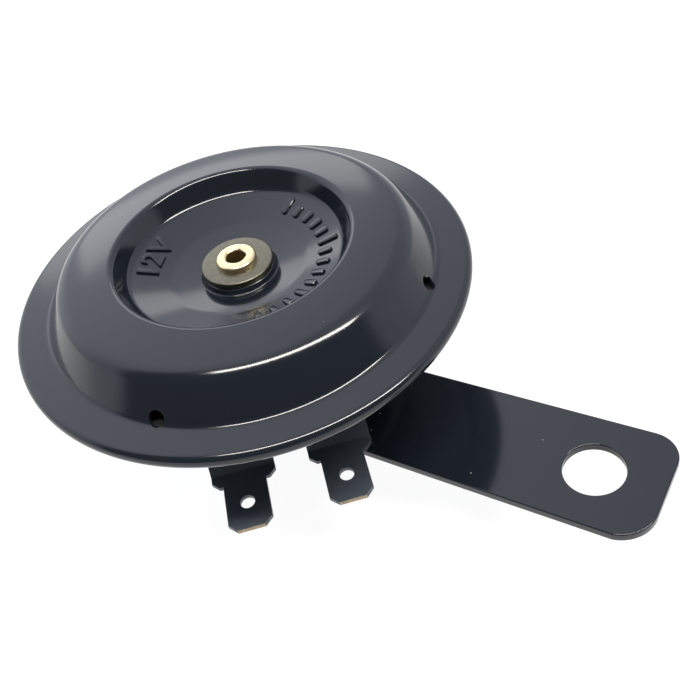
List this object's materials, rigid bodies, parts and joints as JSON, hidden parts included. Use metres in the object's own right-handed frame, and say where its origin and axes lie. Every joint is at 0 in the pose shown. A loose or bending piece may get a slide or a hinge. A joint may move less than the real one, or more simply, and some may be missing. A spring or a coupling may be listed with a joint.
{
  "type": "car horn",
  "caption": "Small flat-disc electric horn with a black stamped front, crimped rim, drawn rear pot, blade terminals and a strip bracket with a bolt hole.",
  "frame": {"origin": "centre of the bracket's bolt hole, in the bracket's front face", "axes": "+Z is the horn's own axis towards its stamped front; +X runs from the horn's axis to the bolt hole and on"},
  "size_m": [0.0966, 0.067, 0.0373],
  "materials": {
    "black_paint": "glossy black enamel",
    "zinc_steel": "zinc plated",
    "washer_steel": "dull olive plating",
    "brass": "bright",
    "spring_steel": "oiled",
    "soft_iron": "turned",
    "bronze": "rolled",
    "copper_wire": "enamelled",
    "contact_metal": "ground",
    "gasket_paper": "pressed",
    "black_plastic": "moulded",
    "fibre": "vulcanised fibre",
    "lead_sleeve": "insulated"
  },
  "bodies": {
    "root": {"front_plate": "black_paint", "front_gasket": "gasket_paper", "rear_gasket": "gasket_paper", "diaphragm": "spring_steel", "rear_housing": "black_paint", "centre_rivet": "brass", "centre_washer": "washer_steel", "centre_collar": "zinc_steel", "armature": "soft_iron", "pole_core": "zinc_steel", "coil_bobbin": "black_plastic", "coil_winding": "copper_wire", "contact_pad_lower": "fibre", "contact_pad_middle": "fibre", "contact_pad_upper": "fibre", "moving_contact_spring": "bronze", "fixed_contact_plate": "brass", "moving_contact_point": "contact_metal", "fixed_contact_point": "contact_metal", "pusher_pad": "fibre", "contact_rivet": "brass", "adjusting_screw": "zinc_steel", "adjusting_screw_cap": "fibre", "adjusting_bush": "zinc_steel", "adjusting_lock_nut": "zinc_steel", "terminal_left": "black_paint", "terminal_right": "black_paint", "terminal_insulator_outer": "black_plastic", "terminal_insulator_inner": "fibre", "terminal_rivet_left": "brass", "terminal_rivet_right": "brass", "bracket": "black_paint", "core_nut": "zinc_steel", "core_washer": "zinc_steel", "spring_washer": "zinc_steel", "mounting_nut": "zinc_steel", "coil_lead_terminal": "copper_wire", "coil_lead_contact": "copper_wire", "contact_link_lead": "lead_sleeve"}
  },
  "joints": []
}
